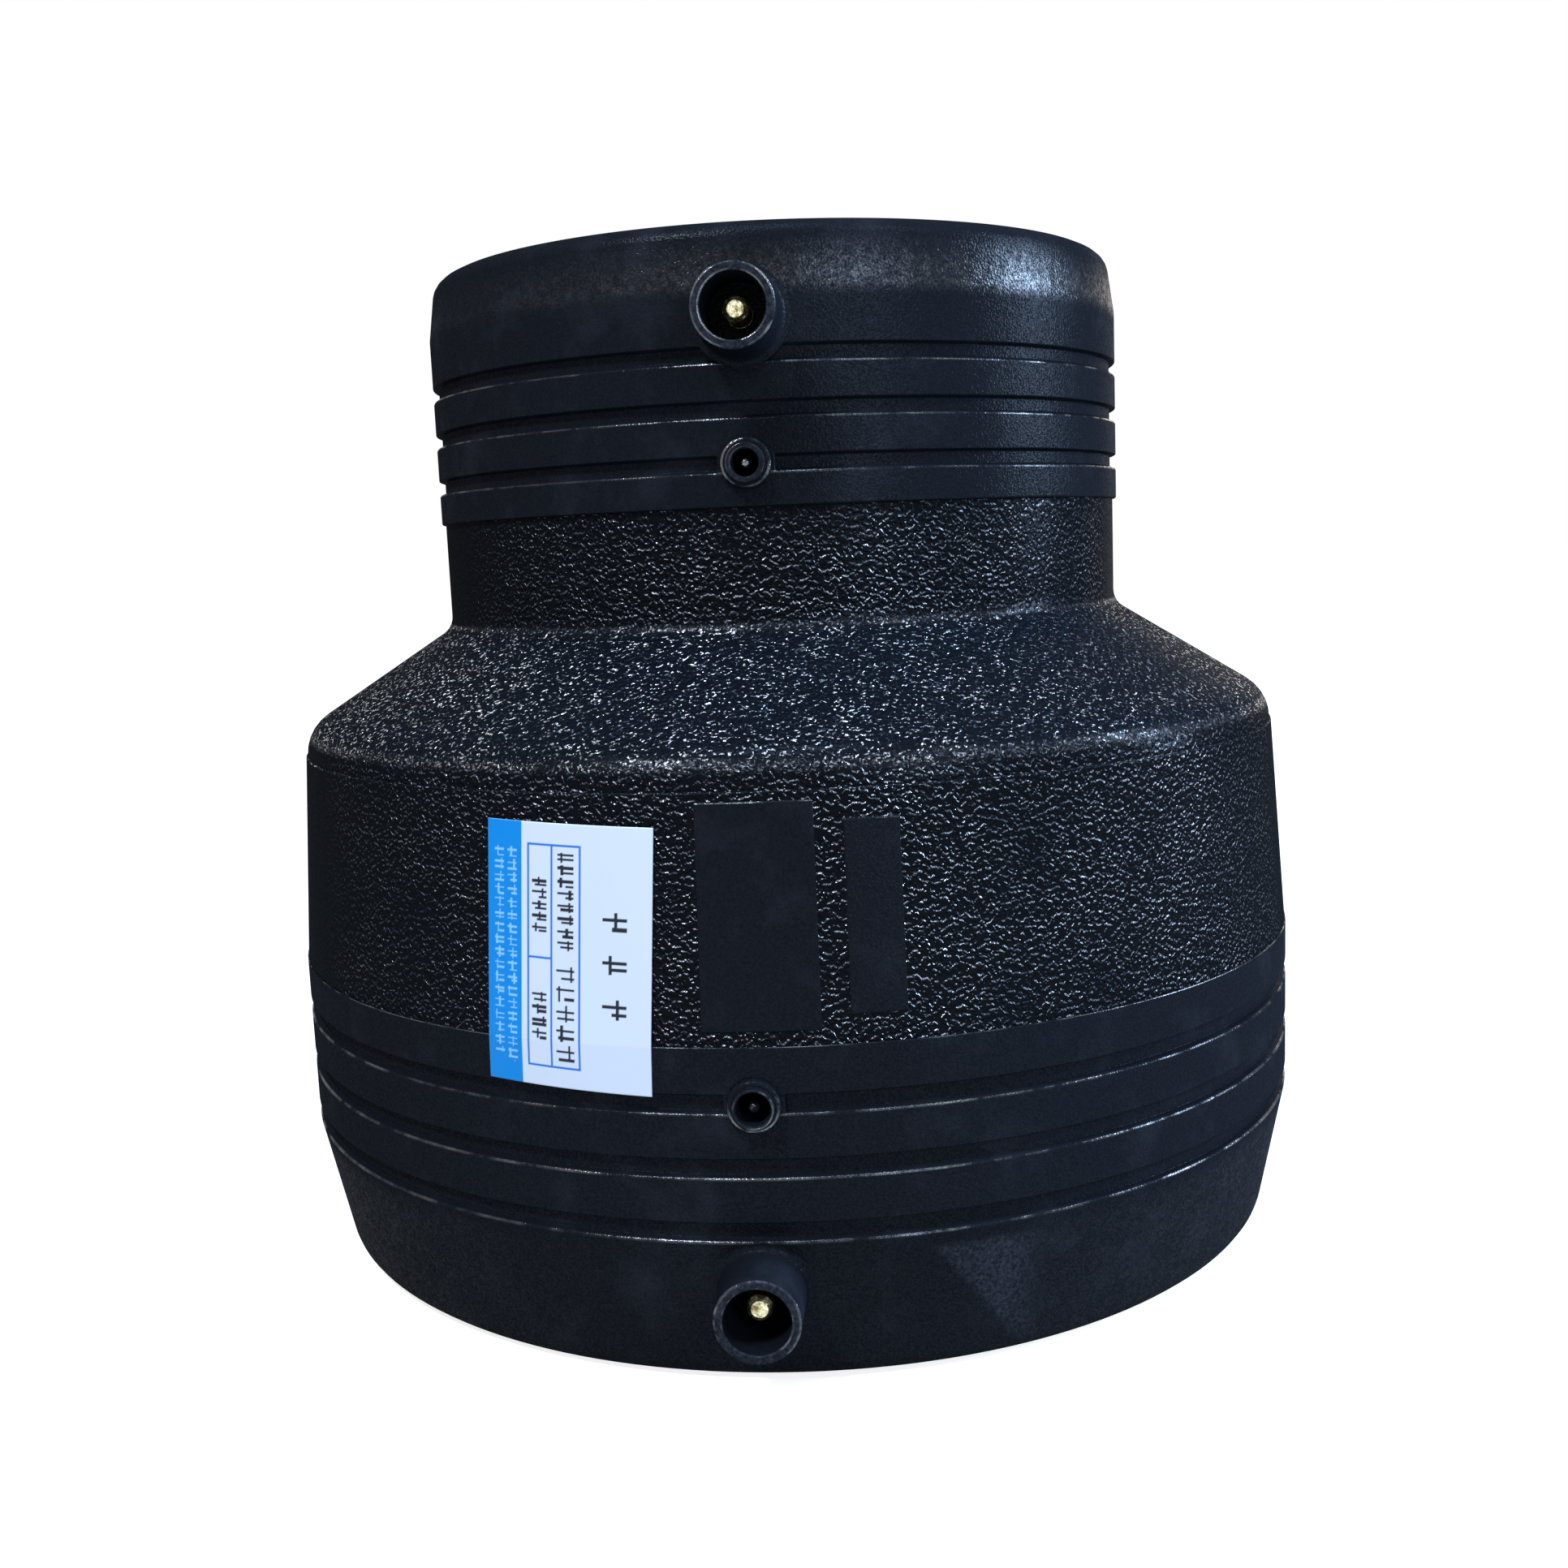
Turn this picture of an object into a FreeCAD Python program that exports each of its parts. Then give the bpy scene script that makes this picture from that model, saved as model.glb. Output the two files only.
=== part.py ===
import FreeCAD, Part
import math
import os

# Electrofusion reducer that welds a 160 mm pipe to a 110 mm pipe.
# Millimetres, +Z along the common axis from the large end to the small end.
# The origin is on the axis in the plane of the large rim, and both terminals face -Y.

# Pipe sockets
large_pipe_radius = 80.0
small_pipe_radius = 55.0
large_pipe_clearance = 0.6
small_pipe_clearance = 0.4
large_socket_depth = 82.0
small_socket_depth = 62.0
stop_to_stop = 34.5
large_passage_radius = 65.4
small_passage_radius = 45.0
lead_in_width = 0.8
lead_in_depth = 1.5

# Outside of the large end
large_wall = 15.4
large_rim_wall = 10.4
large_taper_height = 24.4
large_band_height = 30.3
grain_step = 0.2
large_shoulder_wall = 12.7
seam_above_stop = 10.4
seam_ledge = 0.3

# Cone between the two ends
cone_angle = 32.0
shoulder_round = 8.0
neck_round = 4.0

# Outside of the small end
small_wall = 9.9
small_rim_wall = 8.4
small_taper_height = 10.7
small_band_height = 44.6
band_step = 0.7
rim_round = 3.5
edge_round = 0.3

# Cooling grooves round both bands
groove_count = 3
groove_depth = 1.1
groove_slope = 0.4
large_groove_width = 3.1
large_groove_pitch = 10.0
small_groove_width = 2.7
small_groove_pitch = 8.5
small_groove_start = 5.5

# Terminal shrouds and their brass pins
large_terminal_height = 16.3
small_terminal_below_rim = 14.9
large_shroud_reach = 11.2
small_shroud_reach = 11.2
shroud_outer_radius = 6.55
shroud_inner_radius = 5.05
shroud_draft = 0.15
shroud_lip_round = 0.4
shroud_flare = 1.3
flare_land = 0.1
well_depth = 12.0
pin_radius = 2.0
pin_recess = 4.4
pin_tip_chamfer = 0.7
pin_collar_radius = 2.8
pin_collar_length = 3.0
pin_shank_radius = 1.6
pin_shank_length = 3.1
seat_clearance = 0.05

# Fusion indicators, moulded in one with the body
large_indicator_height = 45.9
small_indicator_below_rim = 37.7
indicator_flange_radius = 4.1
indicator_flange_height = 1.3
indicator_collar_radius = 3.15
indicator_collar_height = 2.4
large_indicator_hole = 2.6
small_indicator_hole = 2.15
indicator_countersink = 0.25
indicator_web = 4.0
indicator_pin_radius = 0.9
indicator_pin_dome = 0.85
indicator_pin_recess = 1.0
groove_end_gap = 0.5

# Heating wire, laid half sunk in a groove round each socket
wire_radius = 0.45
wire_proud = 0.2
wire_pitch = 4.5
large_turns = 11
small_turns = 7
wire_clearance = 0.05
wire_lead_insertion = 2.0
link_depth = 2.9
link_bend_radius = 2.0
link_above_large_stop = 4.0
link_below_small_stop = 6.5

# Smooth panels in the grain: angle from the terminals, width, foot and height
panel_rise = 0.2
wide_panel_angle = 0.9
wide_panel_width = 17.8
wide_panel_foot = 57.0
wide_panel_height = 33.9
narrow_panel_angle = 11.5
narrow_panel_width = 8.4
narrow_panel_foot = 59.1
narrow_panel_height = 28.8

# Paper label
label_angle = -17.1
label_width = 27.8
label_height = 40.4
label_foot = 47.5
label_tilt = 1.9
label_thickness = 0.2
label_gap = 0.05

# Sizes that follow from the ones above
large_bore_radius = large_pipe_radius + large_pipe_clearance
small_bore_radius = small_pipe_radius + small_pipe_clearance
small_stop = large_socket_depth + stop_to_stop
overall_height = small_stop + small_socket_depth
large_band_radius = large_bore_radius + large_wall
large_rim_radius = large_bore_radius + large_rim_wall
small_band_radius = small_bore_radius + small_wall
small_rim_radius = small_bore_radius + small_rim_wall
neck_radius = small_band_radius - band_step
large_band_top = large_taper_height + large_band_height
small_taper_foot = overall_height - small_taper_height
small_band_foot = overall_height - small_band_height
seam_height = large_socket_depth + seam_above_stop
seam_radius = large_bore_radius + large_shoulder_wall
shoulder_radius = seam_radius - seam_ledge
cone_slope = math.tan(math.radians(cone_angle))
corner_tangent = math.tan(math.radians((90.0 - cone_angle) / 2))
shoulder_corner = seam_height + shoulder_round * corner_tangent
neck_corner = shoulder_corner + (shoulder_radius - neck_radius) * cone_slope
grain_foot_radius = large_band_radius - grain_step
taper_angle = math.degrees(math.atan2(large_band_radius - large_rim_radius, large_taper_height))
large_terminal_surface = large_band_radius - (large_taper_height - large_terminal_height) * math.tan(
    math.radians(taper_angle))
large_mouth = large_terminal_surface + large_shroud_reach
small_mouth = small_band_radius + small_shroud_reach
small_terminal_height = overall_height - small_terminal_below_rim
small_indicator_height = overall_height - small_indicator_below_rim
pin_length = well_depth - pin_recess + pin_collar_length + pin_shank_length
large_coil_radius = large_bore_radius + wire_radius - wire_proud
small_coil_radius = small_bore_radius + wire_radius - wire_proud
large_coil_top = large_terminal_height + large_turns * wire_pitch
small_coil_foot = small_terminal_height - small_turns * wire_pitch

# How far a tool or a joined foot reaches past the face that it meets
overlap = 3.0


def point(radius, height):
    """A point of a turned outline, in the half plane that holds the axis and +X."""
    return FreeCAD.Vector(radius, 0, height)


def rounded_wire(corners, closed):
    """Straight runs through corners given as (point, round), joined by tangent arcs."""
    count = len(corners)
    starts = []
    ends = []
    arcs = []
    for index in range(count):
        here, radius = corners[index]
        inner = closed or 0 < index < count - 1
        if not inner or radius == 0:
            starts.append(here)
            ends.append(here)
            arcs.append(None)
            continue
        before = (corners[index - 1][0] - here).normalize()
        after = (corners[(index + 1) % count][0] - here).normalize()
        half_angle = before.getAngle(after) / 2
        reach = radius / math.tan(half_angle)
        bisector = (before + after).normalize()
        middle = here + bisector * (radius / math.sin(half_angle) - radius)
        starts.append(here + before * reach)
        ends.append(here + after * reach)
        arcs.append(Part.Arc(starts[-1], middle, ends[-1]).toShape())
    edges = []
    for index in range(count):
        if arcs[index] is not None:
            edges.append(arcs[index])
        if closed or index < count - 1:
            edges.append(Part.LineSegment(ends[index], starts[(index + 1) % count]).toShape())
    return Part.Wire(edges)


def turned(corners, angle=360.0):
    """A solid turned about +Z from a closed outline of (radius, height, round)."""
    wire = rounded_wire([(point(r, z), rounding) for r, z, rounding in corners], True)
    axis = FreeCAD.Vector(0, 0, 1)
    return Part.Face(wire).revolve(FreeCAD.Vector(0, 0, 0), axis, angle)


def facing_terminals(shape, height, tilt=0.0):
    """Lays a shape turned about +Z down along -Y at a height, tipped by tilt degrees."""
    shape.rotate(FreeCAD.Vector(0, 0, 0), FreeCAD.Vector(1, 0, 0), 90.0 - tilt)
    shape.translate(FreeCAD.Vector(0, 0, height))
    return shape


def shell_of_revolution():
    """The fitting's wall: sockets, stops and passage inside, bands, tapers, cone and neck outside."""
    return turned([
        (large_bore_radius + lead_in_width, 0, 0),
        (large_bore_radius, lead_in_depth, 0),
        (large_bore_radius, large_socket_depth, 0),
        (large_passage_radius, large_socket_depth, edge_round),
        (small_passage_radius, small_stop, edge_round),
        (small_bore_radius, small_stop, 0),
        (small_bore_radius, overall_height - lead_in_depth, 0),
        (small_bore_radius + lead_in_width, overall_height, 0),
        (small_rim_radius, overall_height, rim_round),
        (small_band_radius, small_taper_foot, 0),
        (small_band_radius, small_band_foot, edge_round),
        (neck_radius, small_band_foot, 0),
        (neck_radius, neck_corner, neck_round),
        (shoulder_radius, shoulder_corner, shoulder_round - edge_round),
        (shoulder_radius, seam_height, 0),
        (seam_radius, seam_height, 0),
        (grain_foot_radius, large_band_top, 0),
        (large_band_radius, large_band_top, grain_step / 2),
        (large_band_radius, large_taper_height, 0),
        (large_rim_radius, 0, rim_round),
    ])


def groove_rings(band_radius, foot, width, pitch, indicator_height):
    """The grooves of one band with sloped sides and rounded lips, each stopped short of the indicator."""
    keep_half = indicator_flange_radius + groove_end_gap
    keep = Part.makeBox(2 * keep_half, band_radius, 2 * keep_half)
    keep.translate(FreeCAD.Vector(-keep_half, -band_radius - overlap, indicator_height - keep_half))
    rings = []
    for index in range(groove_count):
        low = foot + index * pitch
        ring = turned([
            (band_radius - groove_depth, low + groove_slope, 0),
            (band_radius - groove_depth, low + width - groove_slope, 0),
            (band_radius, low + width, 0),
            (band_radius + groove_depth, low + width, 0),
            (band_radius + groove_depth, low, 0),
            (band_radius, low, 0),
        ])
        rings.append(ring.cut(keep))
    return rings


def shroud(surface_radius, mouth_radius, height, tilt):
    """A terminal shroud: a round tower with a little draft, rounded at its lip and flared into the wall."""
    buried = surface_radius - overlap
    tower = facing_terminals(turned([
        (0, buried, 0),
        (shroud_outer_radius + shroud_draft, buried, 0),
        (shroud_outer_radius, mouth_radius, shroud_lip_round),
        (0, mouth_radius, 0),
    ]), height)
    foot_radius = shroud_outer_radius + shroud_draft
    flare_radius = foot_radius + shroud_flare + flare_land
    surface = -(foot_radius + shroud_flare / 2) ** 2 / (2 * surface_radius)
    flare_top = surface + shroud_flare + flare_land
    flare = facing_terminals(turned([
        (0, -overlap, 0),
        (flare_radius, -overlap, 0),
        (flare_radius, surface, 0),
        (foot_radius, surface, shroud_flare),
        (foot_radius, flare_top, 0),
        (0, flare_top, 0),
    ]), height, tilt)
    flare.translate(FreeCAD.Vector(0, -surface_radius, 0))
    return tower.fuse(flare)


def terminal_well(mouth_radius, height):
    """The hollow in a shroud, and the stepped seat of its pin in the wall behind the well's floor."""
    floor = mouth_radius - well_depth
    pin_foot = mouth_radius - pin_recess - pin_length
    collar_foot = floor - pin_collar_length
    return facing_terminals(turned([
        (0, pin_foot - seat_clearance, 0),
        (pin_shank_radius + seat_clearance, pin_foot - seat_clearance, 0),
        (pin_shank_radius + seat_clearance, collar_foot - seat_clearance, 0),
        (pin_collar_radius + seat_clearance, collar_foot - seat_clearance, 0),
        (pin_collar_radius + seat_clearance, floor, 0),
        (shroud_inner_radius, floor, 0),
        (shroud_inner_radius, mouth_radius - shroud_lip_round, 0),
        (shroud_inner_radius + shroud_lip_round, mouth_radius, 0),
        (shroud_inner_radius + shroud_lip_round, mouth_radius + overlap, 0),
        (0, mouth_radius + overlap, 0),
    ]), height)


def indicator_boss(band_radius, height):
    """A stepped round boss that stands on a band round the indicator."""
    flange_top = band_radius + indicator_flange_height
    collar_top = band_radius + indicator_collar_height
    return facing_terminals(turned([
        (0, band_radius - overlap, 0),
        (indicator_flange_radius, band_radius - overlap, 0),
        (indicator_flange_radius, flange_top, 2 * edge_round),
        (indicator_collar_radius, flange_top, 0),
        (indicator_collar_radius, collar_top, edge_round),
        (0, collar_top, 0),
    ]), height)


def indicator_hole(bore_radius, band_radius, height, hole_radius):
    """The blind hole round an indicator pin, which leaves the pin standing on the web at its floor."""
    floor = bore_radius + indicator_web
    collar_top = band_radius + indicator_collar_height
    tip = collar_top - indicator_pin_recess
    return facing_terminals(turned([
        (indicator_pin_radius, floor, 0),
        (hole_radius, floor, 0),
        (hole_radius, collar_top - indicator_countersink, 0),
        (hole_radius + indicator_countersink, collar_top, 0),
        (hole_radius + indicator_countersink, collar_top + overlap, 0),
        (0, collar_top + overlap, 0),
        (0, tip, 0),
        (indicator_pin_radius, tip, indicator_pin_dome),
    ]), height)


def smooth_panel(angle, width, foot, height):
    """A smooth field with straight edges that stands a little proud of the grain."""
    def wall_radius(level):
        share = (level - large_band_top) / (seam_height - large_band_top)
        return grain_foot_radius + share * (seam_radius - grain_foot_radius)

    low = wall_radius(foot)
    high = wall_radius(foot + height)
    spread = math.degrees(width / low)
    field = turned([
        (low - overlap, foot, 0),
        (low + panel_rise, foot, 0),
        (high + panel_rise, foot + height, 0),
        (high - overlap, foot + height, 0),
    ], spread)
    field.rotate(FreeCAD.Vector(0, 0, 0), FreeCAD.Vector(0, 0, 1), angle - 90.0 - spread / 2)
    return field


def round_bar(path, start, direction, radius):
    """A round wire of one radius carried along a path that starts at start and leaves it in direction."""
    section = Part.Wire([Part.makeCircle(radius, start, direction)])
    return path.makePipeShell([section], True, True)


def behind_terminals(radius, height):
    """A point in the plane of both terminals, at a distance from the axis."""
    return FreeCAD.Vector(0, -radius, height)


def round_section(centre):
    """The wire's own section, at right angles to X."""
    return Part.Face(Part.Wire([Part.makeCircle(wire_radius, centre, FreeCAD.Vector(1, 0, 0))]))


def groove_section(centre):
    """The square section of the groove that holds the wire, at right angles to X."""
    half = wire_radius + wire_clearance
    corners = []
    for across, up in ((-half, -half), (half, -half), (half, half), (-half, half)):
        corners.append(centre + FreeCAD.Vector(0, across, up))
    return Part.Face(Part.makePolygon(corners + corners[:1]))


def winding(section, coil_radius, foot, turns):
    """Half circles that each rise by half a pitch, from the terminals round to the terminals.

    Each half lies in a tilted plane and its ends run level, so it passes smoothly into the next.
    """
    rise = wire_pitch / 2
    halves = []
    for index in range(2 * turns):
        side = (-1) ** index
        start = behind_terminals(side * coil_radius, foot + index * rise)
        centre = FreeCAD.Vector(0, 0, start.z + rise / 2)
        axis = FreeCAD.Vector(0, -side * rise, 2 * coil_radius)
        halves.append(section(start).revolve(centre, axis, 180.0))
    return halves[0].fuse(halves[1:])


def wire_lead(from_radius, to_radius, height, radius):
    """A straight end of wire that runs outwards to a terminal pin."""
    start = behind_terminals(from_radius, height)
    return Part.makeCylinder(radius, to_radius - from_radius, start, FreeCAD.Vector(0, -1, 0))


def wire_link(large_start_radius, small_end_radius, radius):
    """The run of wire through the wall that joins the two coils, bent round at each corner."""
    large_run = large_coil_radius + link_depth
    small_run = small_coil_radius + link_depth
    start = behind_terminals(large_start_radius, large_coil_top)
    path = rounded_wire([
        (start, 0),
        (behind_terminals(large_run, large_coil_top), link_bend_radius),
        (behind_terminals(large_run, large_socket_depth + link_above_large_stop), link_bend_radius),
        (behind_terminals(small_run, small_stop - link_below_small_stop), link_bend_radius),
        (behind_terminals(small_run, small_coil_foot), link_bend_radius),
        (behind_terminals(small_end_radius, small_coil_foot), 0),
    ], False)
    return round_bar(path, start, FreeCAD.Vector(0, -1, 0), radius)


def wire_runs(section, radius, large_start_radius, small_start_radius):
    """Every stretch of the heating wire, or of the room that it takes in the wall."""
    lead_depth = pin_recess + pin_length - wire_lead_insertion
    return [
        winding(section, large_coil_radius, large_terminal_height, large_turns),
        winding(section, small_coil_radius, small_coil_foot, small_turns),
        wire_lead(large_start_radius, large_mouth - lead_depth, large_terminal_height, radius),
        wire_lead(small_start_radius, small_mouth - lead_depth, small_terminal_height, radius),
        wire_link(large_start_radius, small_start_radius, radius),
    ]


def heating_wire():
    """One wire from pin to pin, wound round both sockets."""
    runs = wire_runs(round_section, wire_radius, large_coil_radius, small_coil_radius)
    return runs[0].fuse(runs[1:])


def body():
    """The moulding, with its shrouds, indicators and panels."""
    solid = shell_of_revolution()
    grooves = groove_rings(large_band_radius, large_taper_height, large_groove_width,
                           large_groove_pitch, large_indicator_height)
    grooves += groove_rings(small_band_radius, small_band_foot + small_groove_start, small_groove_width,
                            small_groove_pitch, small_indicator_height)
    solid = solid.cut(grooves)
    solid = solid.fuse([
        shroud(large_terminal_surface, large_mouth, large_terminal_height, -taper_angle),
        shroud(small_band_radius, small_mouth, small_terminal_height, 0),
        indicator_boss(large_band_radius, large_indicator_height),
        indicator_boss(small_band_radius, small_indicator_height),
        smooth_panel(wide_panel_angle, wide_panel_width, wide_panel_foot, wide_panel_height),
        smooth_panel(narrow_panel_angle, narrow_panel_width, narrow_panel_foot, narrow_panel_height),
    ])
    solid = solid.cut([
        terminal_well(large_mouth, large_terminal_height),
        terminal_well(small_mouth, small_terminal_height),
        indicator_hole(large_bore_radius, large_band_radius, large_indicator_height, large_indicator_hole),
        indicator_hole(small_bore_radius, small_band_radius, small_indicator_height, small_indicator_hole),
    ])
    room = wire_runs(groove_section, wire_radius + wire_clearance, large_bore_radius - wire_radius,
                     small_bore_radius - wire_radius)
    for run in room:
        solid = solid.cut(run)
    return solid


def terminal_pin(mouth_radius, height):
    """A turned brass pin: chamfered tip, collar held in the wall, and a shank drilled for the wire's end."""
    tip = mouth_radius - pin_recess
    foot = tip - pin_length
    collar_top = mouth_radius - well_depth
    collar_foot = collar_top - pin_collar_length
    drilled_radius = wire_radius + wire_clearance
    drilled_top = foot + wire_lead_insertion + wire_clearance
    return facing_terminals(turned([
        (drilled_radius, foot, 0),
        (pin_shank_radius, foot, 0),
        (pin_shank_radius, collar_foot, 0),
        (pin_collar_radius, collar_foot, 0),
        (pin_collar_radius, collar_top, 0),
        (pin_radius, collar_top, 0),
        (pin_radius, tip - pin_tip_chamfer, 0),
        (pin_radius - pin_tip_chamfer, tip, 0),
        (0, tip, 0),
        (0, drilled_top, 0),
        (drilled_radius, drilled_top, 0),
    ]), height)


def label():
    """A paper label that follows the wall from the band up over the grain, stuck on a little askew."""
    top = label_foot + label_height
    margin = label_width / 2
    low = label_foot - margin
    high = top + margin
    share = (high - large_band_top) / (seam_height - large_band_top)
    inner_band = large_band_radius + label_gap
    inner_top = inner_band + share * (seam_radius - grain_foot_radius)
    spread = math.degrees(2 * label_width / large_band_radius)
    sheet = turned([
        (inner_band, low, 0),
        (inner_band + label_thickness, low, 0),
        (inner_band + label_thickness, large_band_top, 0),
        (inner_top + label_thickness, high, 0),
        (inner_top, high, 0),
        (inner_band, large_band_top, 0),
    ], spread)
    sheet.rotate(FreeCAD.Vector(0, 0, 0), FreeCAD.Vector(0, 0, 1), -90.0 - spread / 2)
    window = Part.makeBox(label_width, large_band_radius, label_height)
    window.translate(FreeCAD.Vector(-label_width / 2, -large_band_radius - overlap, label_foot))
    centre = FreeCAD.Vector(0, 0, label_foot + label_height / 2)
    window.rotate(centre, FreeCAD.Vector(0, 1, 0), label_tilt)
    piece = sheet.common(window)
    piece.rotate(FreeCAD.Vector(0, 0, 0), FreeCAD.Vector(0, 0, 1), label_angle)
    return piece


pieces = {
    "body": body(),
    "heating_wire": heating_wire(),
    "large_terminal_pin": terminal_pin(large_mouth, large_terminal_height),
    "small_terminal_pin": terminal_pin(small_mouth, small_terminal_height),
    "label": label(),
}

os.makedirs("parts", exist_ok=True)
for name, shape in pieces.items():
    shape.exportStep("parts/" + name + ".step")
    print(name, shape.isValid(), len(shape.Solids), round(shape.Volume, 3))
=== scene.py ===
import math

import bpy
import numpy as np
from mathutils import Matrix, Vector


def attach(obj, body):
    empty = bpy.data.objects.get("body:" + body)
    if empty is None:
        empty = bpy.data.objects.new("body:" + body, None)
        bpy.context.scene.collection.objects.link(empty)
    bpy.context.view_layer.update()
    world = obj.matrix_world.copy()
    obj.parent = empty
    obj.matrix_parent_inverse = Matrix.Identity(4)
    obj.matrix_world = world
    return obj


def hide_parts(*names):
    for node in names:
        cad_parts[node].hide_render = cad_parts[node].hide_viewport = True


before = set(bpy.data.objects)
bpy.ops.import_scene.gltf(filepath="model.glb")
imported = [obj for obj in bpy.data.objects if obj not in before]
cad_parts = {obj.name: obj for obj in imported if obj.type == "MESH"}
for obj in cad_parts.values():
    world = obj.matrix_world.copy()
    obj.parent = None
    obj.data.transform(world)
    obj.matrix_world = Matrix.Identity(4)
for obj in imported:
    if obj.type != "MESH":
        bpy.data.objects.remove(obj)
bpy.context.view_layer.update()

# Body: one injection moulding in black polyethylene, turned about Z, with the shrouds and indicators
# moulded on. The bands, tapers and rims come satin from blasted steel; the neck, cone and large wall
# have the leather grain etched into the mould. Sizes are in millimetres and the mesh is in metres.
MM = 0.001
large_band, large_taper_top, wall_foot = 96.0, 24.4, 54.7
small_band, small_taper_foot, small_band_foot = 65.3, 167.8, 133.9
large_shroud_height, small_shroud_height = 16.3, 163.6
large_indicator_height, small_indicator_height = 45.9, 140.8


def soft_corners(corners, arc_points=6):
    """Outline points of (radius, height, round) corners, each rounded corner replaced by a tangent arc.

    With unit directions a back and b on from a corner, and half the angle between them, an arc of
    radius r starts r / tan(half) along a. Its points are the centre plus the slerp of its end radii.
    """
    corners = np.array(corners, float)
    here = corners[:, None, :2]
    radius = corners[:, None, 2:]
    back = np.roll(here, 1, 0) - here
    onward = np.roll(here, -1, 0) - here
    back /= np.linalg.norm(back, axis=2, keepdims=True)
    onward /= np.linalg.norm(onward, axis=2, keepdims=True)
    half = np.arccos(np.clip((back * onward).sum(2, keepdims=True), -1, 1)) / 2
    turn = math.pi - 2 * half
    bisector = back + onward
    bisector /= np.maximum(np.linalg.norm(bisector, axis=2, keepdims=True), 1e-9)
    centre = here + bisector * radius / np.sin(half)
    first = here + back * radius / np.tan(half) - centre
    last = here + onward * radius / np.tan(half) - centre
    share = np.linspace(0, 1, arc_points)[None, :, None]
    arcs = centre + (np.sin((1 - share) * turn) * first + np.sin(share * turn) * last) / np.sin(turn)
    arcs = arcs.reshape(-1, 2)
    apart = np.linalg.norm(arcs - np.roll(arcs, 1, 0), axis=1) > 1e-4
    return arcs[apart]


def with_rows_at(outline, heights):
    """The outline with a point added where its outside, which runs down, crosses each height.

    The point lies on the straight line between its neighbours, at the height's share of their fall.
    """
    onward = np.roll(outline, -1, 0)
    low = onward[:, 1:] + 1e-3
    high = outline[:, 1:] - 1e-3
    heights = np.asarray(heights)[None, :]
    run, which = np.nonzero((heights > low) & (heights < high))
    share = (heights[0, which] - outline[run, 1]) / (onward[run, 1] - outline[run, 1])
    added = outline[run] + share[:, None] * (onward[run] - outline[run])
    place = np.concatenate([np.arange(len(outline)), run + share])
    return np.concatenate([outline, added])[np.argsort(place, kind="stable")]


# Radius of the band, foot of the lowest groove, width and pitch of its three cooling grooves.
band_grooves = ((large_band, large_taper_top, 3.1, 10.0), (small_band, 139.4, 2.7, 8.5))


def groove_corners(band_radius, foot, width, pitch):
    """Corners of three cooling grooves from the top one down: 1.1 mm deep, sloped sides, soft lips."""
    low = foot + pitch * np.arange(3)[::-1, None]
    up = np.array([width, width - 0.4, 0.4, 0.0])
    inward = np.array([0.0, 1.1, 1.1, 0.0])
    lips = np.array([0.22, 0.12, 0.12, 0.5])
    shape = (3, 4)
    rows = np.stack([np.broadcast_to(band_radius - inward, shape), low + up,
                     np.broadcast_to(lips, shape)], axis=2)
    return [tuple(row) for row in rows.reshape(-1, 3)]


large_grooves = groove_corners(*band_grooves[0])
large_grooves[-1] = (large_band, large_taper_top, 0.5)
outer_corners = [
    (63.8, 178.5, 3.5), (small_band, small_taper_foot, 2.0), *groove_corners(*band_grooves[1]),
    (small_band, small_band_foot, 0.4), (64.6, small_band_foot, 0.15), (64.6, 114.61, 4.0),
    (93.0, 96.83, 7.7), (93.0, 92.4, 0.0), (93.3, 92.4, 0.22), (95.8, wall_foot, 0.0),
    (large_band, wall_foot, 0.18), *large_grooves, (91.0, 0.0, 3.5),
]
bore_corners = [
    (81.4, 0.0, 0.0), (80.6, 1.5, 0.0), (80.6, 82.0, 0.25), (65.4, 82.0, 0.3),
    (45.0, 116.5, 0.3), (55.4, 116.5, 0.25), (55.4, 177.0, 0.0), (56.2, 178.5, 0.0),
]
outline = soft_corners(bore_corners + outer_corners)

# Smooth panels in the grain: middle and half width in degrees, foot and top. Their edges get close rows and
# columns, and so do the grooves' ends, the shrouds and the indicators.
panels = ((0.9, 5.34, 57.0, 90.9), (11.5, 2.52, 59.1, 87.9))
panel_rise, panel_edge = 0.2, 0.07
fine_rows = [np.arange(*span) for span in (
    (10.3, 22.5, 0.55), (42.2, 49.8, 0.5), (137.0, 144.8, 0.45), (157.4, 170.0, 0.55))]
panel_rows = [[low - 3 * panel_edge, low - panel_edge, low + panel_edge, low + 3 * panel_edge,
               high - 3 * panel_edge, high - panel_edge, high + panel_edge, high + 3 * panel_edge]
              for _, _, low, high in panels]
coarse_rows = np.concatenate([np.arange(2.5, 24, 3.0), np.arange(58.0, 92, 3.3),
                              np.arange(118.0, 133, 3.0)])
outline = with_rows_at(outline, np.concatenate([*fine_rows, *panel_rows, coarse_rows]))

groove_stop = 4.6
groove_ends = np.degrees(np.arcsin(groove_stop / np.array([large_band, small_band])))
panel_ends = np.array([[centre - half, centre + half] for centre, half, _, _ in panels]).ravel()
angle_edge = math.degrees(panel_edge / 95.0)
columns = np.concatenate([
    np.arange(-6.0, 6.01, 0.35), np.arange(8.0, 352.1, 2.0), np.arange(13.0, 29.0, 0.5),
    *[side * (end + np.array([0.0, 0.16])) for end in groove_ends for side in (-1, 1)],
    *[panel_ends + step * angle_edge for step in (-3, -1, 1, 3)],
])
columns = np.unique(np.round((columns + 180) % 360 - 180, 4))
columns = np.radians(columns[np.append(np.diff(columns) > 0.02, True)])


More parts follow.
